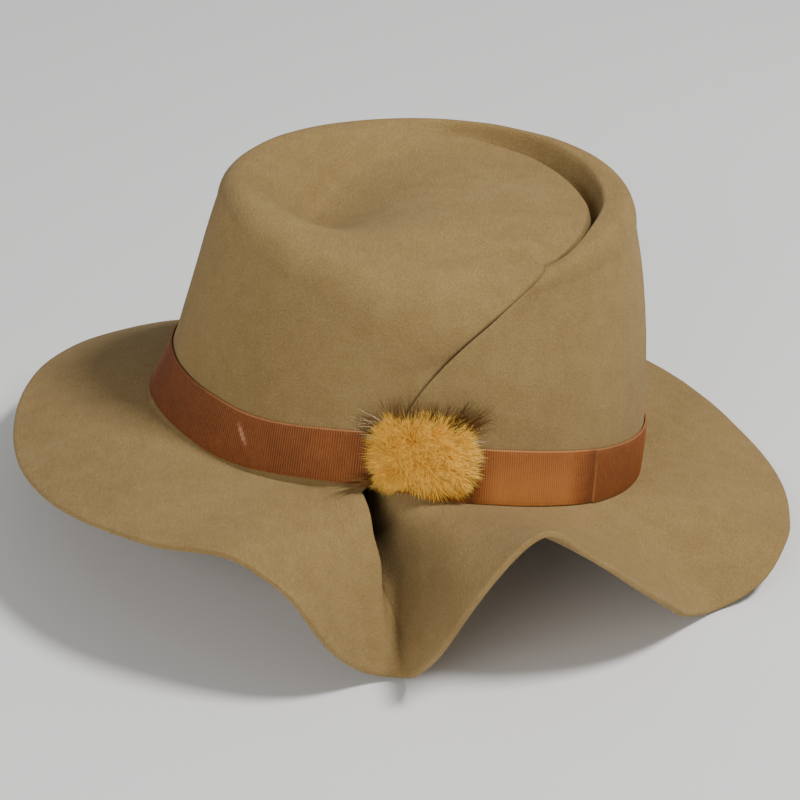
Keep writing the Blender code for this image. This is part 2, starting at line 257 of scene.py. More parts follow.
felt = {
    "crownLength": 0.203, "crownWidth": 0.170, "crownHeight": 0.102, "crownLean": (0.004, 0.002),
    "brimWidth": 0.064, "thickness": 0.0024,
    "foldRim": -55.0, "foldRun": 3.4, "crowding": 0.65, "floorLevel": 0.935,
    "flare": 0.045, "flareFrom": 188, "flareSpread": 34, "flareRise": 0.27, "flareEase": 1.6,
    "bow": 1.15, "bowRight": 0.9, "bowSpread": 45,     # bend of the wall, and more of it on the right
    "columns": 260, "brimRows": 36, "wallRows": 56, "topRows": 60, "stepColumns": 10,
    "rowEase": 0.9,                     # how much the wall's rows crowd towards the rim
    "topMarks": (0, 9, 15, 21, 60),     # rows at the rim, groove start, bottom, plateau and middle
    "topSettle": 0.12, "topLip": 0.12,
    "mergeColumns": 30, "mergeRows": (8, 4),     # where the sheets left and right of the fold join on top
    "unevenness": 0.0003, "swells": (34, 90), "smallSwell": 0.5, "normalPasses": 6,
    "edgeShares": (0.06, 0.25, 0.5, 0.75, 0.94), "edgeBulge": 0.00035, "tableGap": 0.0001,
    # share of the rim's height, bearing of the fold on the crown
    "fold": [(0, -97.2), (0.10, -94), (0.30, -91), (0.40, -89), (0.50, -86), (0.60, -82),
             (0.70, -77), (0.80, -71), (0.90, -64), (0.96, -59), (1, -55)],
    # share of the brim's width, bearing of the fold on the brim, mm: depth of the tuck under the
    # left sheet, lift of the left sheet, and degrees that the fold takes up
    "pleat": [(0, -97.2, 15, 2.0, 1.3), (0.12, -94.8, 15, 2.4, 1.3), (0.25, -93.3, 13, 2.4, 1.3),
              (0.38, -91.3, 8.0, 1.8, 1.4), (0.5, -90.0, 3.6, 0.9, 1.8), (0.62, -88.7, 1.4, 0.4, 2.4),
              (0.8, -87, 0.4, 0.1, 3.0), (1, -85.4, 0, 0, 3.4)],
    "tuckWidth": 0.0075, "tuckTop": 0.0015, "tuckOpens": 0.004, "liftWidth": 0.015,
    "innerTuck": (0.004, 1.2),     # width left of the fold, and how much wider it is right of it
    # the tuck in section, mm along and down: from the left sheet's edge, then up to the right one
    "tuck": [(0.9, 0.25), (1.5, 0.9), (1.5, 1.7), (0.8, 2.4), (-0.3, 3.2),
             (-1.2, 0.2), (-0.9, 0.8), (-0.6, 1.0), (-0.3, 0.5)],
    # bearing, then from the rim in, in shares: edge of the wrap, bottom and end of its groove,
    # height of the bottom and of the plateau's edge, how much of all this there is, painted shade in the
    # groove
    "groove": [
        (-55, 0.012, 0.026, 0.040, 0.875, 0.880, 1, 0.35),
        (-50, 0.018, 0.031, 0.045, 0.878, 0.888, 1, 0.45),
        (-45, 0.026, 0.040, 0.056, 0.872, 0.897, 1, 0.7),
        (-37, 0.042, 0.056, 0.074, 0.880, 0.916, 1, 0.35),
        (-27, 0.054, 0.076, 0.100, 0.876, 0.926, 1, 0.25),
        (-17, 0.066, 0.095, 0.123, 0.864, 0.932, 1, 0.3), (0, 0.072, 0.114, 0.148, 0.857, 0.935, 1, 0.3),
        (17, 0.064, 0.118, 0.165, 0.872, 0.937, 1, 0.2), (37, 0.040, 0.098, 0.140, 0.902, 0.940, 1, 0.12),
        (58, 0.012, 0.055, 0.080, 0.925, 0.945, 1, 0), (75, 0.010, 0.050, 0.075, 0.950, 0.960, 1, 0),
        (95, 0.010, 0.050, 0.080, 0.972, 0.975, 0.7, 0), (120, 0.02, 0.06, 0.09, 0.97, 0.97, 0, 0),
        (250, 0.02, 0.06, 0.09, 0.90, 0.90, 0, 0), (290, 0.012, 0.03, 0.048, 0.89, 0.89, 0, 0),
        (305, 0.004, 0.012, 0.020, 0.89, 0.89, 0, 0)],
    # bearing, then shares: ridge, taper, shoulder, ledge, foot
    "crown": [
        (-55, 0.880, 0.874, 0.080, 0.050, 0.62), (-40, 0.920, 0.858, 0.095, 0.062, 0.62),
        (-27, 0.955, 0.850, 0.110, 0.072, 0.62), (0, 0.980, 0.846, 0.112, 0.071, 0.62),
        (35, 1.013, 0.848, 0.110, 0.072, 0.60), (70, 1.018, 0.858, 0.120, 0.085, 0.55),
        (110, 1.000, 0.862, 0.130, 0.100, 0.50), (150, 0.978, 0.850, 0.120, 0.088, 0.45),
        (185, 0.962, 0.844, 0.115, 0.085, 0.45), (214, 0.940, 0.842, 0.110, 0.085, 0.45),
        (228, 0.913, 0.848, 0.110, 0.090, 0.45), (240, 0.882, 0.865, 0.110, 0.110, 0.44),
        (254, 0.868, 0.880, 0.130, 0.160, 0.42), (266, 0.862, 0.900, 0.160, 0.210, 0.40),
        (280, 0.862, 0.920, 0.270, 0.290, 0.42), (290, 0.868, 0.925, 0.350, 0.300, 0.48),
        (299, 0.875, 0.915, 0.380, 0.200, 0.55), (305, 0.882, 0.900, 0.330, 0.095, 0.62)],
    # bearing, share of brimWidth, lean below level at the crown and at the edge, drop of the foot
    "brim": [
        (-97, 1.10, 56, 40, 0.000), (-92, 1.10, 62, 42, 0.000), (-87, 1.10, 60, 50, 0.000),
        (-83.8, 1.08, 37, 41, 0.003), (-80, 1.05, 11, 17, 0.008), (-74.8, 1.01, -5, -8, 0.016),
        (-68, 1.01, -9, -30, 0.031), (-61, 1.03, -8, -14, 0.051), (-49, 1.02, 3.5, 12, 0.086),
        (-37, 0.98, 14, 37, 0.123), (-31, 1.00, 15, 39, 0.139), (-25, 1.08, 6, 26, 0.153),
        (-18, 1.075, 0, 14, 0.167), (-8, 1.03, -1, 15, 0.181), (6, 0.99, -1, 16, 0.186),
        (20, 0.93, -1, 15, 0.172), (41, 0.95, 0, 14, 0.132), (70, 0.98, 3, 13, 0.078),
        (95, 0.98, 10, 23, 0.039), (115, 0.99, 13, 28, 0.020), (138, 1.00, 11, 22, 0.005),
        (165, 1.00, 9, 17, 0.000), (192, 1.00, 11, 23, 0.000), (210, 1.00, 9, 17, 0.003),
        (234, 1.00, 2, 6, 0.018), (251, 1.00, 2, 4, 0.004), (258, 1.03, 11, 18, 0.000),
        (263, 1.085, 21, 45, 0.000), (268, 1.10, 37, 61, 0.000), (274, 1.10, 44, 66, 0.000)],
    # dents in the floor of the top: x, y, size across, size deep, depth
    "dents": [(-0.44, 0.03, 0.31, 0.44, 0.180), (0.25, -0.62, 0.22, 0.20, 0.03)],
    # the fold's lip in section: mm along the sheet, share of the way up to the upper sheet
    "lip": [(0.7, 0.00), (1.6, 0.02), (2.2, 0.20), (1.7, 0.38), (0.8, 0.42), (0.1, 0.46),
            (-0.45, 0.60), (-0.55, 0.82), (-0.2, 0.96)],
    "lipStart": (0.0005, 0.005), "lipRounding": 0.0012, "lipFade": (0.82, 0.18), "rollReach": 0.9,
    # painted shade: width of the line beside the lip, how much of it goes and from where, what depth makes
    # the tuck dark, then depth, width and amount in the tuck, and amount and width to its right
    "lineWidth": 0.0010, "lineFade": (0.65, 0.75, 0.25), "tuckDark": 0.008,
    "tuckShade": (0.013, 0.005, 0.9), "rightShade": (0.28, 0.042), "rightEnds": (0.2, 0.3),
    # finish: two tones of the cloth, then the share and colour of what lies over them, the last one painted
    # shade
    "mottle": {"Scale": 22.0, "Breakup": 0.45}, "toneRange": (0.36, 0.64),
    "tones": ((0.230, 0.146, 0.053), (0.288, 0.190, 0.073)),
    "fibreScale": 1500.0, "fibreTips": (0.35, (0.39, 0.28, 0.13)),
    "grainRange": (0.62, 0.38), "grain": (0.35, (0.15, 0.09, 0.03)),
    "paintedShade": (0.9, (0.035, 0.018, 0.007)),
    "roughness": (0.2, 0.82),     # what the grain adds, and the rest
    "bump": {"Strength": 0.35, "Distance": 0.0003},
    "finish": {"Specular IOR Level": 0.08, "Sheen Weight": 0.06, "Sheen Roughness": 0.6,
               "Sheen Tint": (0.95, 0.86, 0.68, 1)},
}


def onOval(bearing, share):
    a = np.radians(bearing)
    return np.stack([felt["crownLength"] / 2 * share * np.cos(a),
                     felt["crownWidth"] / 2 * share * np.sin(a)], -1)


def outward(bearing):
    a = np.radians(bearing)
    return unit(np.stack([np.cos(a) / felt["crownLength"], np.sin(a) / felt["crownWidth"]], -1))


def flare(bearing):
    # how far the foot of the crown is spread on its left side, as a share of the oval
    away = (np.asarray(bearing) - felt["flareFrom"] + 180) % 360 - 180
    return felt["flare"] * np.exp(-(away / felt["flareSpread"]) ** 2)


def wallClimb():
    # shares of the rim's height at the wall's rows
    walls = felt["wallRows"]
    return np.sin(np.pi / 2 * np.arange(walls + 1) / walls) ** felt["rowEase"]


def topRows(rim, ridge, edge, foot):
    # from the rim over the wrap's edge, down its groove, up to the plateau and in to the middle
    start, bottom, end, low, plateau, part = readTable(felt["groove"], rim)[:6]
    row, marks = np.arange(1, felt["topRows"] + 1), felt["topMarks"]
    parts = [np.clip((row - marks[i]) / (marks[i + 1] - marks[i]), 0, 1) for i in range(4)]
    inside = start * parts[0] + (bottom - start) * parts[1] + (end - bottom) * parts[2]
    inside = inside + (edge - end) * parts[3]
    inward = edge - inside
    a = np.radians(rim)
    x, y = inward * np.cos(a), inward * np.sin(a)
    floor = np.full_like(x, felt["floorLevel"])
    for dentX, dentY, sizeX, sizeY, depth in felt["dents"]:
        floor -= depth * np.exp(-((x - dentX) / sizeX) ** 2 - ((y - dentY) / sizeY) ** 2)
    plain = ridge + (floor - ridge) * smooth(inside / (edge - foot))
    lip = ridge - felt["topLip"] * start
    high = ridge + (lip - ridge) * parts[0] ** 2 + (low - lip) * smooth(parts[1])
    high += (plateau - low) * np.sin(np.pi / 2 * parts[2])
    high += (floor - plateau) * smooth((inside - end) / felt["topSettle"]) * (parts[3] > 0)
    high = plain + (high - plain) * part

    # past the rim the sheet on the fold's left runs into the sheet on its right
    merge = felt["mergeColumns"]
    side = smooth((np.arange(len(rim)) - len(rim) + 1 + merge) / merge)[:, None]
    aside, down = [smooth((row - marks[3] + rows) / rows) for rows in felt["mergeRows"]]
    inward = inward + (inward[0] - inward[-1]) * side * aside
    return inward, high + (high[0] - high[-1]) * side * down


def crownPoints(rim, near):
    # the columns' points from the head band up the wall, over the rim and to the middle of the top
    walls = felt["wallRows"]
    ridge, taper, shoulder, ledge, foot = readTable(felt["crown"], rim)
    level = ridge[:, :walls + 1] * wallClimb()
    top = ridge[:, :walls + 1]
    turn = top - shoulder[:, :walls + 1]
    rise = np.clip((level - turn) / shoulder[:, :walls + 1], 0, 1)
    bow = felt["bow"] + felt["bowRight"] * np.exp(-(rim[:, :walls + 1] / felt["bowSpread"]) ** 2)
    straight = 1 - (1 - taper[:, :walls + 1]) * (np.minimum(level, turn) / turn) ** bow
    share = straight - ledge[:, :walls + 1] * (1 - np.sqrt(1 - rise * rise))
    share += flare(rim[:, :walls + 1]) * np.clip(1 - level / felt["flareRise"], 0, 1) ** felt["flareEase"]
    t = level / top
    onFold = readTable(felt["fold"], t)[0]

    inTop = slice(walls + 1, None)
    inward, high = topRows(rim[:, inTop], ridge[:, inTop], (taper - ledge)[:, inTop], foot[:, inTop])
    share = np.hstack([share, inward])
    level = np.hstack([level, high])
    t = np.hstack([t, np.ones_like(inward)])
    onFold = np.hstack([onFold, np.full_like(inward, felt["fold"][-1][1])])
    around = rim + (onFold - felt["foldRim"]) * near
    level = level - readTable(felt["brim"], around)[3] * (1 - t)
    flat = onOval(around, share) + t[..., None] * np.array(felt["crownLean"])
    return np.dstack([flat, level * felt["crownHeight"]])


def brimPoints(rim, near):
    # the columns' points from the brim's edge in to the head band
    rows = felt["brimRows"]
    run = np.arange(rows, 0, -1) / rows
    foot = rim + (readTable(felt["pleat"], run)[0] - felt["foldRim"]) * near
    width, leanIn, leanOut, drop = readTable(felt["brim"], foot)
    leanIn, leanOut = np.radians(leanIn), np.radians(leanOut)
    bend = leanOut - leanIn
    bend = np.where(np.abs(bend) < 1e-4, 1e-4, bend)     # an even lean is a very slow bend
    here = leanIn + bend * run
    out = (np.sin(here) - np.sin(leanIn)) / bend * width * felt["brimWidth"]
    z = (np.cos(here) - np.cos(leanIn)) / bend * width * felt["brimWidth"]
    z -= drop * felt["crownHeight"]
    start = onOval(foot, 1) * (1 + flare(foot) * (1 - run) ** 2)[..., None]
    return np.dstack([start + outward(foot) * out[..., None], z])


def columnShares():
    # shares of the way round from the fold, closer together near it
    v = np.arange(felt["columns"] + 1) / felt["columns"]
    return v - felt["crowding"] * np.sin(2 * np.pi * v) / (2 * np.pi)


def sheetColumns(before, after):
    # before and after: degrees left free on the fold's right and left side, for each row
    v = columnShares()
    near = ((1 + np.cos(2 * np.pi * v)) / 2)[:, None]
    rim = felt["foldRim"] + before + (360 - before - after) * v[:, None]
    brims = felt["brimRows"]
    return np.concatenate([brimPoints(rim[:, :brims], near), crownPoints(rim[:, brims:], near)], 1)


def rowHeights():
    # for each row: how far out on the brim, and how far up the crown, as shares
    brims, walls, tops = felt["brimRows"], felt["wallRows"], felt["topRows"]
    out = np.concatenate([np.arange(brims, 0, -1) / brims, np.zeros(walls + 1 + tops)])
    return out, np.concatenate([np.zeros(brims), wallClimb(), np.ones(tops)])


def foldFrame(sheet):
    # along the sheet to the right of the fold, and square out of it, for each row
    along = unit(sheet[3] - sheet[0] + sheet[-1] - sheet[-4])
    climb = np.gradient(sheet[0] + sheet[-1], axis=0)
    return along, unit(np.cross(along, climb))


def fromFold(sheet):
    # distance from the fold's left and right side, each made large on the sheet's other half
    half = felt["columns"] // 2
    fromLeft = np.linalg.norm(sheet - sheet[-1], axis=2)[..., None]
    fromRight = np.linalg.norm(sheet - sheet[0], axis=2)[..., None]
    fromRight[half:] += 0.1
    fromLeft[:half] += 0.1
    return fromLeft, fromRight


def foldStep(sheet, onCrown, depth):
    # columns that lead from the lower side of the fold to its upper side: a lip over the left
    # sheet on the crown, and on the brim the left sheet's edge with the tuck under it
    left, right = sheet[-1], sheet[0]
    along, out = foldFrame(sheet)
    height = np.abs(((right - left) * out).sum(1))
    full = smooth(height / felt["lipRounding"])[:, None]
    fadeFrom, fadeOver = felt["lipFade"]
    full = full * (1 - smooth((rowHeights()[1][:, None] - fadeFrom) / fadeOver))
    reach = np.linalg.norm(right - left, axis=1, keepdims=True) * felt["rollReach"]
    leave = unit(sheet[-1] - sheet[-3]) * reach
    arrive = unit(sheet[2] - sheet[0]) * reach
    opened = smooth(depth / felt["tuckOpens"])
    columns = []
    for k, (mm, share) in enumerate(felt["lip"], 1):
        lip = left + (right - left) * share + along * (mm / 1000) * full
        s = k / felt["stepColumns"]
        roll = left * (2 * s ** 3 - 3 * s ** 2 + 1) + right * (3 * s ** 2 - 2 * s ** 3)
        roll = roll + leave * (s ** 3 - 2 * s ** 2 + s) + arrive * (s ** 3 - s ** 2)
        mmAlong, mmDown = felt["tuck"][k - 1]
        hung = left if k <= felt["stepColumns"] // 2 else right
        tuck = hung + (along * mmAlong - out * mmDown) / 1000
        roll = roll + (tuck - roll) * opened
        columns.append(roll + (lip - roll) * onCrown)
    return columns


def feltSkins():
    out, up = rowHeights()
    climbed = up * felt["crownHeight"]
    onCrown = smooth((climbed - felt["lipStart"][0]) / felt["lipStart"][1])
    depth, lift, run = readTable(felt["pleat"], out)[1:]
    depth, lift = np.maximum([depth, lift], 0)[:, :, None] / 1000
    onBrim = (1 - smooth(climbed / felt["tuckTop"]))[:, None]
    depth = depth * onBrim
    lift = lift * onBrim
    run = run + (felt["foldRun"] - run) * onCrown
    shade = np.zeros((felt["columns"] + felt["stepColumns"], len(out)))

    outer = sheetColumns(np.zeros_like(out), run * (1 - onCrown))
    square = foldFrame(outer)[1]
    fromLeft, fromRight = fromFold(outer)
    outer = outer + square * lift * np.exp(-(fromLeft / felt["liftWidth"]) ** 2)
    outer = outer - square * depth * np.exp(-(fromRight / felt["tuckWidth"]) ** 2)
    step = foldStep(outer, onCrown[:, None], depth)

    # painted shade where shadow falls: a line beside the lip, the groove of the wrap, the tuck and the
    # sheet right of it
    rims, brims = felt["columns"] + 1, felt["brimRows"]
    toRim = slice(brims, brims + felt["wallRows"] + 1)
    less, fadeFrom, fadeOver = felt["lineFade"]
    faint = onCrown[toRim] * (1 - less * smooth((up[toRim] - fadeFrom) / fadeOver))
    shade[:rims, toRim] = np.exp(-(fromLeft[:, toRim, 0] / felt["lineWidth"]) ** 2) * faint
    shade[rims:rims + 3, toRim] = faint
    dark = readTable(felt["groove"], felt["foldRim"] + 360 * columnShares())[6]
    marks = felt["topMarks"]
    row = np.arange(1, felt["topRows"] + 1)
    inGroove = np.clip((row - marks[1]) / (marks[3] - marks[1]), 0, 1)
    shade[:rims, toRim.stop:] = np.maximum(dark, 0)[:, None] * np.sin(np.pi * inGroove)
    opened = smooth(depth[:, 0] / felt["tuckDark"])
    deep, narrow, most = felt["tuckShade"]
    dim = most * smooth(depth[:, 0] / deep) * np.exp(-(fromRight[..., 0] / narrow) ** 2)
    most, wide = felt["rightShade"]
    ends = smooth(out / felt["rightEnds"][0]) * smooth((1 - out) / felt["rightEnds"][1])
    dim += most * ends * np.exp(-(fromRight[..., 0] / wide) ** 2)
    shade[:rims] = np.maximum(shade[:rims], dim)
    shade[rims + 3:] = np.maximum(shade[rims + 3:], opened)

    inner = sheetColumns(run * onCrown, run * (1 - onCrown))
    square = foldFrame(inner)[1]
    fromLeft, fromRight = fromFold(inner)
    width, wider = felt["innerTuck"]
    inner = inner - square * depth * np.exp(-(fromLeft / width) ** 2)
    inner = inner - square * depth * np.exp(-(fromRight / felt["tuckWidth"] / wider) ** 2)
    share = (np.arange(1, felt["stepColumns"]) / felt["stepColumns"])[:, None, None]
    inner = np.concatenate([inner, inner[-1] + (inner[0] - inner[-1]) * share])
    return np.concatenate([outer, step]), inner, shade


def gridNormals(skin):
    across = np.roll(skin, -1, 0) - np.roll(skin, 1, 0)
    square = unit(np.cross(across, np.gradient(skin, axis=1)))
    square[:, -1] = (0, 0, 1)
    for _ in range(felt["normalPasses"]):
        square = square + np.roll(square, 1, 0) + np.roll(square, -1, 0)
        square[:, 1:-1] += square[:, 2:] + square[:, :-2]
        square = unit(square)
    return square


def uneven(skin, square):
    # the felt is never dead even: low, wide swells
    flat = skin.reshape(-1, 3)
    wide, small = felt["swells"]
    lift = np.array([noise.noise(Vector(p) * wide) + felt["smallSwell"] * noise.noise(Vector(p) * small)
                     for p in flat])
    return skin + square * lift.reshape(skin.shape[:2])[..., None] * felt["unevenness"]


def quadRows(start, columns, rows, flip):
    # faces of a closed band of columns, stored column by column
    c, r = np.meshgrid(np.arange(columns), np.arange(rows - 1), indexing="ij")
    a, b = start + c * rows + r, start + (c + 1) % columns * rows + r
    quads = np.stack([a, b, b + 1, a + 1], -1).reshape(-1, 4)
    return quads[:, ::-1] if flip else quads


def buildFelt(material):
    outer, inner, shade = feltSkins()
    square = gridNormals(outer)
    joined = np.r_[0, felt["columns"]:len(outer)]
    past = slice(felt["brimRows"] + felt["wallRows"] + felt["topMarks"][3], None)
    square[joined, past] = unit(square[joined, past].mean(0))
    outer = uneven(outer, square)
    inner = inner - gridNormals(inner) * felt["thickness"]
    columns, rows = outer.shape[:2]
    middles = [outer[:, -1].mean(0), inner[:, -1].mean(0)]
    outer, inner = outer[:, :-1], inner[:, :-1]
    rows -= 1

    # the cut edge: slightly rounded corners, a few points between the two skins
    reach = unit(outer[:, 0] - outer[:, 1])
    shares = np.array(felt["edgeShares"])[None, :, None]
    bulge = felt["edgeBulge"] * (1 - np.abs(2 * shares - 1) ** 3)
    edge = outer[:, :1] + (inner[:, :1] - outer[:, :1]) * shares + reach[:, None] * bulge

    points = np.concatenate([outer.reshape(-1, 3), inner.reshape(-1, 3), edge.reshape(-1, 3), middles])
    second, third = columns * rows, 2 * columns * rows
    last = third + columns * shares.size
    faces = [quadRows(0, columns, rows, False), quadRows(second, columns, rows, True),
             quadRows(third, columns, shares.size, True)]
    c = np.arange(columns)
    d = (c + 1) % columns
    e = shares.size
    faces.append(np.stack([c * rows, third + c * e, third + d * e, d * rows], -1))
    faces.append(np.stack([third + c * e + e - 1, second + c * rows, second + d * rows,
                           third + d * e + e - 1], -1))
    caps = [np.stack([c * rows + rows - 1, d * rows + rows - 1, np.full(columns, last)], -1),
            np.stack([second + d * rows + rows - 1, second + c * rows + rows - 1,
                      np.full(columns, last + 1)], -1)]
    faces = [face for group in faces + caps for face in group.tolist()]
    shades = np.zeros(len(points))
    shades[:second] = shade[:, :-1].ravel()
    piece = makePiece("feltSheet", points, faces, material, ["felt_body"])
    # the fold attribute is painted shade for the lip's line, the groove and the tuck
    addAttribute(piece, "fold", shades)
    weld(piece)
    for vertex in piece.data.vertices:
        vertex.co.z = max(vertex.co.z, felt["tableGap"])     # it rests on the table
    return piece, outer


def feltMaterial():
    material, tree, shader = newMaterial("woolFelt", 0.95)
    place = objectPlace(tree)
    tone = useGroup(tree, mottle, {"Place": place, **felt["mottle"]}).outputs["Tone"]
    nap = useGroup(tree, fibres, {"Place": place, "Scale": felt["fibreScale"]})
    colour = mixColours(tree, ramp(tree, tone, *felt["toneRange"]), *felt["tones"])
    colour = blendIn(tree, colour, nap.outputs["Fibres"], *felt["fibreTips"])
    dark = ramp(tree, nap.outputs["Grain"], *felt["grainRange"])
    colour = blendIn(tree, colour, dark, *felt["grain"])
    # painted shade: darker where the fold attribute marks the lip's line, the groove and the tuck
    colour = blendIn(tree, colour, readAttribute(tree, "fold"), *felt["paintedShade"])
    tree.links.new(colour, shader.inputs["Base Color"])
    rough = addMath(tree, "MULTIPLY_ADD", nap.outputs["Grain"], *felt["roughness"])
    tree.links.new(rough, shader.inputs["Roughness"])
    height = addMath(tree, "ADD", nap.outputs["Fibres"], nap.outputs["Grain"])
    bump = addNode(tree, "ShaderNodeBump", {"Height": height, **felt["bump"]})
    tree.links.new(bump.outputs["Normal"], shader.inputs["Normal"])
    setSockets(shader, felt["finish"])
    return material


feltSheet, feltOuter = buildFelt(feltMaterial())
print("felt built", len(feltSheet.data.polygons))


# ribbon: ribbed band round the foot of the crown

ribbon = {
    "rise": 0.0003, "height": 0.0224, "thickness": 0.0008, "gap": 0.0003, "standOff": 0.00015,
    "ribs": 590, "columnsPerRib": 4, "rows": 20, "levels": 9, "evening": 0.004, "apart": 3,
    # how far it stands off the brim left of the fold; bearings where that starts and ends, and
    # the degrees it takes
    "lift": 0.0030, "liftStarts": (-78, 18), "liftEnds": (-114, 32),
    # a small raised diagonal streak, painted lighter: bearing, share up, lean in degrees, half width in
    # degrees, half length
    "streak": (-133.6, 0.60, 10, 0.6, 0.15), "streakHeight": 0.00035,
    "turnedEnd": -70.3, "join": -34.4,     # bearings on the crown
    "lap": 0.00035, "lapEase": (0.25, 9),     # height of the lap, degrees in which it rises and ends
    "ribDepth": 0.00011, "picot": 0.00018, "picotWidth": 0.0008,
    "edgeDrop": 0.0001, "edgeCord": 0.00012, "edgeThin": 0.45,
    # painted shade: amount and degrees at the turned end, before the join and past it, then left of
    # leftFrom: amount, start and length of each step
    "endShade": (0.6, 1.6), "joinShade": (0.45, 2.5), "pastJoinShade": (0.2, 0.3, 50, 40),
    "leftFrom": -100, "leftSteps": ((0.22, 0, 25), (0.3, 35, 35)), "leftEnds": (85, 60),
    # painted sheen: bearing and degrees of the paler part's start and end, and a painted highlight along
    # the join
    "sheenStarts": (-70, 8), "sheenEnds": (-44, 6), "joinLine": (0.1, 0.3),
    # finish: the ribs' two tones, then the share and colour of what lies over them, with painted sheen and
    # painted shade among them
    "mottle": {"Scale": 45.0, "Breakup": 0.4}, "toneRange": (0.35, 0.65), "threadScale": 2600.0,
    "crestRange": (-0.6, 0.9), "ribTones": ((0.06, 0.011, 0.001), (0.27, 0.066, 0.008)),
    "clouds": (0.45, (0.34, 0.098, 0.014)), "threads": (0.3, (0.55, 0.23, 0.07)),
    "picotRange": (0.478, 0.490), "picotUp": (1.5, 0.4), "picotColour": (0.58, 0.27, 0.10),
    "sheenUp": (1.3, 0.2), "sheenPart": (0.45, (0.62, 0.25, 0.06)),
    "paintedShadeColour": (0.05, 0.012, 0.003), "streakColour": (0.8, (0.55, 0.26, 0.15)),
    "roughness": (-0.12, 0.68), "bump": {"Strength": 0.3, "Distance": 0.0001}, "specular": 0.25,
}


def ribbonLift(bearing):
    starts, startOver = ribbon["liftStarts"]
    ends, endOver = ribbon["liftEnds"]
    lifted = ribbon["lift"] * smooth((starts - bearing) / startOver)
    return lifted * (1 - smooth((ends - bearing) / endOver))


def wallLoop(height):
    # the crown's outline at a height above its foot, once round from the fold
    wall = feltOuter[:felt["columns"] + 1, felt["brimRows"]:felt["brimRows"] + felt["wallRows"]]
    loop = []
    for column in wall:
        z = column[0, 2] + height + ribbonLift(math.degrees(math.atan2(column[0, 1], column[0, 0])))
        loop.append([np.interp(z, column[:, 2], column[:, 0]), np.interp(z, column[:, 2], column[:, 1]), z])
    return np.array(loop)


def atBearings(loop, bearings):
    # the loop's points at chosen bearings, with short unevenness smoothed out
    found = np.degrees(np.arctan2(loop[:, 1], loop[:, 0])) % 360
    order = np.argsort(found)
    even = np.stack([np.interp(bearings, found[order], loop[order, i], period=360) for i in range(3)], -1)
    spread = int(ribbon["evening"] / (math.pi * felt["crownLength"]) * len(bearings))
    weights = np.exp(-np.linspace(-2, 2, 2 * spread + 1) ** 2)
    weights /= weights.sum()
    return sum(w * np.roll(even, k - spread, 0) for k, w in enumerate(weights))


def ribbonLoops():
    # ribs stand upright, so every loop takes its points at the same bearings
    count = ribbon["ribs"] * ribbon["columnsPerRib"]
    tenths = np.arange(3600) / 10
    middle = atBearings(wallLoop(ribbon["rise"] + ribbon["height"] / 2), tenths)
    length = np.concatenate([[0], np.cumsum(np.linalg.norm(np.diff(middle, axis=0), axis=1))])
    bearings = np.interp(np.arange(count) / count * length[-1], length, tenths)
    loops = []
    for level in np.linspace(0, 1, ribbon["levels"]):
        loop = atBearings(wallLoop(ribbon["rise"] + ribbon["height"] * level), bearings)
        along = unit((np.roll(loop, -ribbon["apart"], 0) - np.roll(loop, ribbon["apart"], 0))[:, :2])
        away = np.stack([along[:, 1], -along[:, 0]], -1)
        loop[:, :2] += away * (ribbon["gap"] + ribbon["standOff"])
        loops.append(loop)
    return np.array(loops)


feltLoops = ribbonLoops()


def onRibbon(along, up, out):
    # points of the ribbon: along its length as a share, up its width as a share, out from its back
    count = feltLoops.shape[1]
    i = np.asarray(along) % 1.0 * count
    k = np.clip(np.asarray(up), -0.4, 1.6) * (ribbon["levels"] - 1)
    i0, k0 = np.floor(i).astype(int), np.clip(np.floor(k), 0, ribbon["levels"] - 2).astype(int)
    onward, upward = (i - i0)[..., None], (k - k0)[..., None]
    i0, i1 = i0 % count, (i0 + 1) % count
    low = feltLoops[k0, i0] * (1 - onward) + feltLoops[k0, i1] * onward
    high = feltLoops[k0 + 1, i0] * (1 - onward) + feltLoops[k0 + 1, i1] * onward
    step = unit(feltLoops[k0, (i0 + ribbon["apart"]) % count] - feltLoops[k0, i0 - ribbon["apart"]])
    away = np.stack([step[..., 1], -step[..., 0], np.zeros_like(step[..., 0])], -1)
    return low + (high - low) * upward + away * np.asarray(out)[..., None]


def ribbonTones(bearing):
    # painted shade and painted sheen along the ribbon's length
    past = bearing - ribbon["join"]
    amount, width = ribbon["endShade"]
    paintedDark = amount * np.exp(-((bearing - ribbon["turnedEnd"]) / width) ** 2)
    amount, width = ribbon["joinShade"]
    paintedDark += amount * np.exp(-(past / width) ** 2) * (past < 0)
    amount, width, ends, endOver = ribbon["pastJoinShade"]
    paintedDark += amount * smooth(past / width) * (1 - smooth((past - ends) / endOver))
    leftwards = ribbon["leftFrom"] - np.where(bearing > 90, bearing - 360, bearing)
    leftShade = sum(amount * smooth((leftwards - start) / length)
               for amount, start, length in ribbon["leftSteps"])
    ends, endOver = ribbon["leftEnds"]
    paintedDark += leftShade * (1 - smooth((leftwards - ends) / endOver))
    starts, startOver = ribbon["sheenStarts"]
    ends, endOver = ribbon["sheenEnds"]
    paintedSheen = smooth((bearing - starts) / startOver) * (1 - smooth((bearing - ends) / endOver))
    aside, width = ribbon["joinLine"]
    paintedSheen += np.exp(-((past - aside) / width) ** 2)
    return paintedDark, paintedSheen


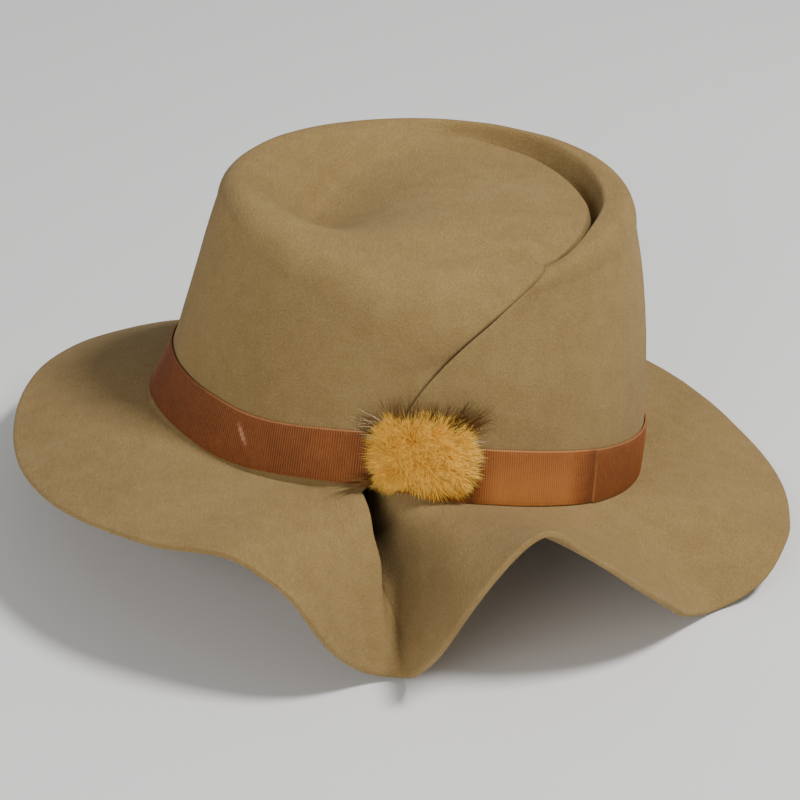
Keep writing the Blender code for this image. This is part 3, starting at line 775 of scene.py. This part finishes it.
def buildRibbon(material):
    columns = ribbon["ribs"] * ribbon["columnsPerRib"]
    along = np.arange(columns) / columns
    phase = along * ribbon["ribs"] * math.tau
    rib = 0.5 + 0.5 * np.cos(phase)
    edge = ribbon["picotWidth"] / ribbon["height"]
    border = edge * np.array([0, 0.5, 1, 1.25])     # rows that shape the picot edge
    between = np.linspace(0.1, 0.9, ribbon["rows"] - 2 * len(border))
    ups = np.concatenate([border, between, 1 - border[::-1]])
    middle = feltLoops[ribbon["levels"] // 2]
    bearing = np.degrees(np.arctan2(middle[:, 1], middle[:, 0]))
    streakAt, streakUp, lean, halfWidth, halfLength = ribbon["streak"]
    rings, streaks = [], []
    for up in ups:
        aside = (bearing - streakAt + lean * (up - streakUp)) / halfWidth
        streaks.append(np.exp(-aside ** 4 - ((up - streakUp) / halfLength) ** 4))
        fromEdge = min(up, 1 - up) / edge
        onBorder = fromEdge < 1.1
        depth = ribbon["ribDepth"] * (0.5 if onBorder else 1.0)
        out = ribbon["thickness"] - 2 * depth * (1 - rib)
        if onBorder:
            out = out - ribbon["edgeDrop"] + ribbon["edgeCord"] * (1 - abs(2 * fromEdge - 1))
        if fromEdge == 0:
            out = out - ribbon["thickness"] * ribbon["edgeThin"]
        wobble = ribbon["picot"] * (rib - 0.5) / ribbon["height"] * (fromEdge < 0.6)
        side = -1 if up < 0.5 else 1
        rings.append(onRibbon(along, up + side * wobble, out + ribbon["streakHeight"] * streaks[-1]))
    for up in (1, 0):
        rings.append(onRibbon(along, np.full(columns, float(up)), np.zeros(columns)))
        streaks.append(np.zeros(columns))
    grid = np.array(rings).transpose(1, 0, 2)
    past = bearing - ribbon["join"]
    rises, falls = ribbon["lapEase"]
    over = (smooth(past / rises) - smooth(past / falls)) * ribbon["lap"]
    row = grid[:, 6]     # one end laps over the other, lifted straight out from the hat's middle
    grid += unit(np.concatenate([row[:, :2], 0 * row[:, :1]], 1))[:, None] * over[:, None, None]
    paintedDark, paintedSheen = ribbonTones(bearing)
    points = grid.reshape(-1, 3)
    rows = grid.shape[1]
    c, r = np.meshgrid(np.arange(columns), np.arange(rows), indexing="ij")
    a, b = c * rows, (c + 1) % columns * rows
    faces = np.stack([a + r, b + r, b + (r + 1) % rows, a + (r + 1) % rows], -1).reshape(-1, 4)
    piece = makePiece("ribbonBand", points, faces.tolist(), material, ["ribbon_band"])
    addAttribute(piece, "along", np.repeat(along, rows))
    addAttribute(piece, "up", np.tile(np.concatenate([ups, [1, 0]]), columns))
    # painted shade and painted sheen for the material, one value per column
    addAttribute(piece, "dark", np.repeat(paintedDark, rows))
    addAttribute(piece, "paintedSheen", np.repeat(paintedSheen, rows))
    addAttribute(piece, "streak", np.array(streaks).T)
    return piece


def ribbonMaterial():
    material, tree, shader = newMaterial("grosgrain", 0.6)
    place = objectPlace(tree)
    along, up = readAttribute(tree, "along"), readAttribute(tree, "up")
    tone = useGroup(tree, mottle, {"Place": place, **ribbon["mottle"]}).outputs["Tone"]
    thread = useGroup(tree, fibres, {"Place": place, "Scale": ribbon["threadScale"]})
    wave = addMath(tree, "COSINE", addMath(tree, "MULTIPLY", along, math.tau * ribbon["ribs"]))
    crest = ramp(tree, wave, *ribbon["crestRange"])
    colour = mixColours(tree, crest, *ribbon["ribTones"])
    colour = blendIn(tree, colour, ramp(tree, tone, *ribbon["toneRange"]), *ribbon["clouds"])
    colour = blendIn(tree, colour, thread.outputs["Fibres"], *ribbon["threads"])
    fromMiddle = addMath(tree, "ABSOLUTE", addMath(tree, "SUBTRACT", up, 0.5))
    picot = addMath(tree, "MULTIPLY", ramp(tree, fromMiddle, *ribbon["picotRange"]),
                    ramp(tree, up, *ribbon["picotUp"]))
    lit = addMath(tree, "MULTIPLY_ADD", crest, 0.5, 0.5)
    colour = mixColours(tree, addMath(tree, "MULTIPLY", picot, lit), colour, ribbon["picotColour"])
    # painted sheen: paler in the lower part of the ribbon right of the fur, with a painted highlight along
    # the join
    paintedSheen = addMath(tree, "MULTIPLY", readAttribute(tree, "paintedSheen"), ramp(tree, up, *ribbon["sheenUp"]))
    colour = blendIn(tree, colour, paintedSheen, *ribbon["sheenPart"])
    # painted shade: darker at the turned end, around the join and along the left side
    colour = mixColours(tree, readAttribute(tree, "dark"), colour, ribbon["paintedShadeColour"])
    # the raised streak painted lighter
    colour = blendIn(tree, colour, readAttribute(tree, "streak"), *ribbon["streakColour"])
    tree.links.new(colour, shader.inputs["Base Color"])
    rough = addMath(tree, "MULTIPLY_ADD", crest, *ribbon["roughness"])
    tree.links.new(rough, shader.inputs["Roughness"])
    bump = addNode(tree, "ShaderNodeBump", {"Height": thread.outputs["Fibres"], **ribbon["bump"]})
    tree.links.new(bump.outputs["Normal"], shader.inputs["Normal"])
    shader.inputs["Specular IOR Level"].default_value = ribbon["specular"]
    return material


ribbonBand = buildRibbon(ribbonMaterial())
print("ribbon built", len(ribbonBand.data.polygons))


# fur: a patch of golden underfur with light tips and dark guard hairs, rooted on the ribbon's face

fur = {
    "bearing": -84.0, "width": 0.041, "height": 0.030, "rise": 0.0190, "seed": 11,
    "bendRadius": 0.105, "fitColumns": 250, "corners": 5,
    "underfur": {"count": 8600, "lift": 0.001, "length": 0.0060, "width": 0.00024, "spread": 0.16},
    "tipFur": {"count": 8600, "lift": 0.0015, "length": 0.0070, "width": 0.00014, "spread": 0.22},
    # long hairs: how many, shares across and up the patch, lean aside and up, length in mm
    "guardHairs": [(200, -0.85, 0.9, 0.6, 1.0, 0.1, 0.9, 9, 17),
                   (130, 0.35, 0.98, 0.4, 1.0, 0.5, 0.8, 9, 19),
                   (60, -1.0, -0.8, 0.2, 0.9, -0.8, 0.5, 9, 16),
                   (36, -1.0, -0.85, -1.0, -0.7, -1.0, -0.2, 12, 23)],
    "paleHairs": [(22, -1.0, -0.75, 0.35, 0.9, -0.9, 0.45, 9, 15),
                  (14, 0.8, 1.0, -0.6, 0.6, 0.9, 0.2, 7, 11)],
    "rootReach": (0.43, 0.40), "guardReach": (0.45, 0.44),     # shares of the patch that carry roots
    "fanAcross": (0.85, 0.1), "fanUp": (0.7, 0.25), "locks": 0.34,
    "middleSize": 0.16, "middleStir": 0.35, "stand": 0.8, "curl": (0.3, 0.45), "taper": 0.6,
    "lengths": (0.75, 1.15), "widths": (0.7, 1.3), "guardWidths": (0.00010, 0.00018),
    "guardFan": 0.35, "guardStir": 0.18, "guardStand": (0.2, 0.6), "guardBend": 0.08,
    # finish: colours at the root, in the middle and at the tip, and the roughness
    "colours": {
        "goldenUnderfur": ((0.98, 0.43, 0.035), (1.0, 0.56, 0.06), (1.0, 0.62, 0.085), 0.7),
        "paleTips": ((0.98, 0.47, 0.045), (1.0, 0.60, 0.085), (1.0, 0.68, 0.15), 0.7),
        "guardHair": ((0.30, 0.13, 0.03), (0.075, 0.033, 0.009), (0.04, 0.018, 0.005), 0.55),
        "paleHair": ((0.55, 0.36, 0.16), (0.75, 0.60, 0.40), (0.85, 0.74, 0.56), 0.6),
    },
    "rootRange": (0.1, 0.55), "tipRange": (0.5, 1.0),
    "strandRange": (0.55, 1.0), "strandShade": 0.32,
    "mottle": {"Scale": 160.0, "Breakup": 0.3}, "cloudRange": (0.6, 0.35), "cloudShade": 0.45,
    "finish": {"Specular IOR Level": 0.15, "Sheen Weight": 0.25, "Sheen Roughness": 0.5},
}


def furPlace(x, z, out):
    # x to the right and z up from the middle of the patch, out from the ribbon's face
    bearing = np.degrees(np.arctan2(feltLoops[0][:, 1], feltLoops[0][:, 0]))
    start = int(np.argmin(np.abs(bearing - fur["bearing"])))
    count = feltLoops.shape[1]
    size = np.linalg.norm(np.diff(feltLoops[0], axis=0), axis=1).sum() / count
    near = np.arange(start - fur["fitColumns"], start + fur["fitColumns"] + 1)
    sunk = ribbonLift(bearing[near % count])[:, None] * (0, 0, 1)
    foot, top = feltLoops[0][near % count] - sunk, feltLoops[-1][near % count] - sunk
    i = start + np.asarray(x) / size
    fits = [np.polynomial.Polynomial.fit(near, line[:, k], 4)(i) for line in (foot, top) for k in range(3)]
    foot, top = np.stack(fits[:3], -1), np.stack(fits[3:], -1)
    up = (fur["rise"] + np.asarray(z) - ribbon["rise"]) / ribbon["height"]
    here = foot + (top - foot) * np.asarray(up)[..., None]
    turn = np.radians(fur["bearing"]) + np.asarray(x) / fur["bendRadius"]
    away = np.stack([np.cos(turn), np.sin(turn), np.zeros_like(turn)], -1)
    return here + away * (ribbon["thickness"] + ribbon["gap"] + np.asarray(out))[..., None]


def furFrame(x, z, step=0.001):
    here = furPlace(x, z, np.zeros_like(x))
    side = unit(furPlace(x + step, z, np.zeros_like(x)) - here)
    rise = unit(furPlace(x, z + step, np.zeros_like(x)) - here)
    return here, side, rise, unit(np.cross(side, rise))


def strands(roots, leaning, bending, length, width, rings):
    # tapered three-sided hairs that start along leaning and curve towards bending
    count = len(roots)
    leaning = unit(leaning)
    spare = unit(np.cross(leaning, unit(bending + 1e-6)))
    other = np.cross(leaning, spare)
    points, tips = [], []
    for k in range(rings):
        u = k / rings
        middle = roots + (leaning * u + bending * u * u) * length[:, None]
        thick = (width * (1 - u) ** fur["taper"])[:, None]
        for corner in range(3):
            a = math.tau * corner / 3
            points.append(middle + (spare * math.cos(a) + other * math.sin(a)) * thick)
            tips.append(np.full(count, u))
    points.append(roots + (leaning + bending) * length[:, None])
    tips.append(np.ones(count))
    points = np.stack(points, 1)
    tips = np.stack(tips, 1)
    size = rings * 3 + 1
    start = (np.arange(count) * size)[:, None]
    sides = [(k * 3 + c, k * 3 + (c + 1) % 3) for k in range(rings) for c in range(3)]
    quads = [start + np.array([[a, b, b + 3, a + 3]]) for a, b in sides[:-3]]
    ends = [start + np.array([[a, b, size - 1]]) for a, b in sides[-3:]]
    ends.append(start + np.array([[2, 1, 0]]))
    faces = np.concatenate(quads).tolist() + np.concatenate(ends).tolist()
    return points.reshape(-1, 3), faces, tips.ravel(), size


def makeStrands(name, material, place, rings):
    points, faces, tips, size = strands(*place[:5], rings)
    piece = makePiece(name, points, faces, material, ["fur_patch"])
    addAttribute(piece, "tip", tips)
    addAttribute(piece, "tone", np.repeat(place[5], size))
    return piece


def patchPoints(random, count):
    # even scatter over a rounded rectangle, as shares of half its sides
    points = random.uniform(-1, 1, (count * 2, 2))
    inside = (np.abs(points) ** fur["corners"]).sum(1) < 1
    return points[inside][:count]


def bodyFur(random, count, lift, length, width, spread):
    u, w = patchPoints(random, count).T
    across, up = fur["rootReach"]
    here, side, rise, away = furFrame(u * fur["width"] * across, w * fur["height"] * up)
    lock = np.stack([np.sin(9 * u + 4 * w) + 0.6 * np.sin(17 * w - 5 * u + 1),
                     np.cos(8 * w - 5 * u) + 0.6 * np.sin(15 * u + 7 * w)], -1)
    middle = np.exp(-(u * u + w * w) / fur["middleSize"])[:, None]
    outwards, aside = fur["fanAcross"]
    upwards, sunk = fur["fanUp"]
    fan = np.stack([outwards * u + aside, upwards * w - sunk * middle[:, 0]], -1) + fur["locks"] * lock
    fan += random.normal(0, 1, (len(u), 2)) * (spread + fur["middleStir"] * middle)
    leaning = away * fur["stand"] + side * fan[:, :1] + rise * fan[:, 1:]
    along, back = fur["curl"]
    bending = side * fan[:, :1] * along + rise * fan[:, 1:] * along - away * back
    size = length * random.uniform(*fur["lengths"], len(u))
    roots = here + away * (random.uniform(0, lift, len(u)))[:, None]
    thick = width * random.uniform(*fur["widths"], len(u))
    return roots, leaning, bending, size, thick, random.uniform(0, 1, len(u))


def guardFur(random, rows):
    # long hairs that stand out past the rim of the patch
    places = []
    across, up = fur["guardReach"]
    for count, west, east, low, high, aside, upward, shortest, longest in rows:
        u, w = random.uniform(west, east, count), random.uniform(low, high, count)
        here, side, rise, away = furFrame(u * fur["width"] * across, w * fur["height"] * up)
        fan = np.stack([aside + fur["guardFan"] * u, upward + 0 * u], -1)
        fan = fan + random.normal(0, fur["guardStir"], (count, 2))
        stand = random.uniform(*fur["guardStand"], count)[:, None]
        leaning = away * stand + side * fan[:, :1] + rise * fan[:, 1:]
        size = random.uniform(shortest, longest, count) / 1000
        thick = random.uniform(*fur["guardWidths"], count)
        bending = random.normal(0, fur["guardBend"], (count, 3))
        places.append((here, unit(leaning), bending, size, thick, random.uniform(0, 1, count)))
    return [np.concatenate(parts) for parts in zip(*places)]


def furMaterial(name):
    root, middle, tip, roughness = fur["colours"][name]
    material, tree, shader = newMaterial(name, roughness)
    along, tone = readAttribute(tree, "tip"), readAttribute(tree, "tone")
    cloud = useGroup(tree, mottle, {"Place": objectPlace(tree), **fur["mottle"]}).outputs["Tone"]
    colour = mixColours(tree, ramp(tree, along, *fur["rootRange"]), root, middle)
    colour = mixColours(tree, ramp(tree, along, *fur["tipRange"]), colour, tip)
    colour = blendIn(tree, colour, ramp(tree, tone, *fur["strandRange"]), fur["strandShade"], root)
    colour = blendIn(tree, colour, ramp(tree, cloud, *fur["cloudRange"]), fur["cloudShade"], root)
    tree.links.new(colour, shader.inputs["Base Color"])
    setSockets(shader, {**fur["finish"], "Sheen Tint": (*tip, 1)})
    return material


def buildFur():
    random = np.random.default_rng(fur["seed"])
    for name, colours in (("underfur", "goldenUnderfur"), ("tipFur", "paleTips")):
        makeStrands(name, furMaterial(colours), bodyFur(random, **fur[name]), 4)
    for name, colours in (("guardHairs", "guardHair"), ("paleHairs", "paleHair")):
        makeStrands(name, furMaterial(colours), guardFur(random, fur[name]), 5)


buildFur()
print("fur built")


# table, studio light and air

studio = {
    "tableSize": 14.0, "tableColour": (0.80, 0.79, 0.77), "tableDarker": 0.97,
    "mottle": {"Scale": 4.0, "Breakup": 0.3},
    # direction from the middle of the hat, distance, width, power
    "lights": {"keyLight": ((0.50, -0.10, 0.86), 1.6, 0.30, 27),
               "fillLight": ((-0.50, -0.8, 0.40), 1.8, 1.4, 16)},
    "airColour": (0.95, 0.97, 1.0), "airStrength": 0.32,
}


def addTable():
    half = studio["tableSize"] / 2
    mesh = bpy.data.meshes.new("table")
    corners = [(-half, -half, 0), (half, -half, 0), (half, half, 0), (-half, half, 0)]
    mesh.from_pydata(corners, [], [(0, 1, 2, 3)])
    table = addObject("table", mesh)
    material, tree, shader = newMaterial("tableTop", 0.9)
    tone = useGroup(tree, mottle, {"Place": objectPlace(tree), **studio["mottle"]}).outputs["Tone"]
    tint = studio["tableColour"]
    colour = mixColours(tree, tone, tint, tuple(c * studio["tableDarker"] for c in tint))
    tree.links.new(colour, shader.inputs["Base Color"])
    mesh.materials.append(material)


def addLight(name, direction, distance, size, power):
    light = bpy.data.lights.new(name, "AREA")
    light.shape = "DISK"
    light.size = size
    light.energy = power
    lamp = addObject(name, light)
    aim = Vector(direction).normalized()
    lamp.location = aim * distance
    lamp.rotation_euler = aim.to_track_quat("Z", "Y").to_euler()


def addAir():
    world = bpy.data.worlds.new("air")
    world.use_nodes = True
    background = world.node_tree.nodes["Background"]
    background.inputs["Color"].default_value = (*studio["airColour"], 1)
    background.inputs["Strength"].default_value = studio["airStrength"]
    bpy.context.scene.world = world


addTable()
for lightName, lightValues in studio["lights"].items():
    addLight(lightName, *lightValues)
addAir()
print("studio ready")
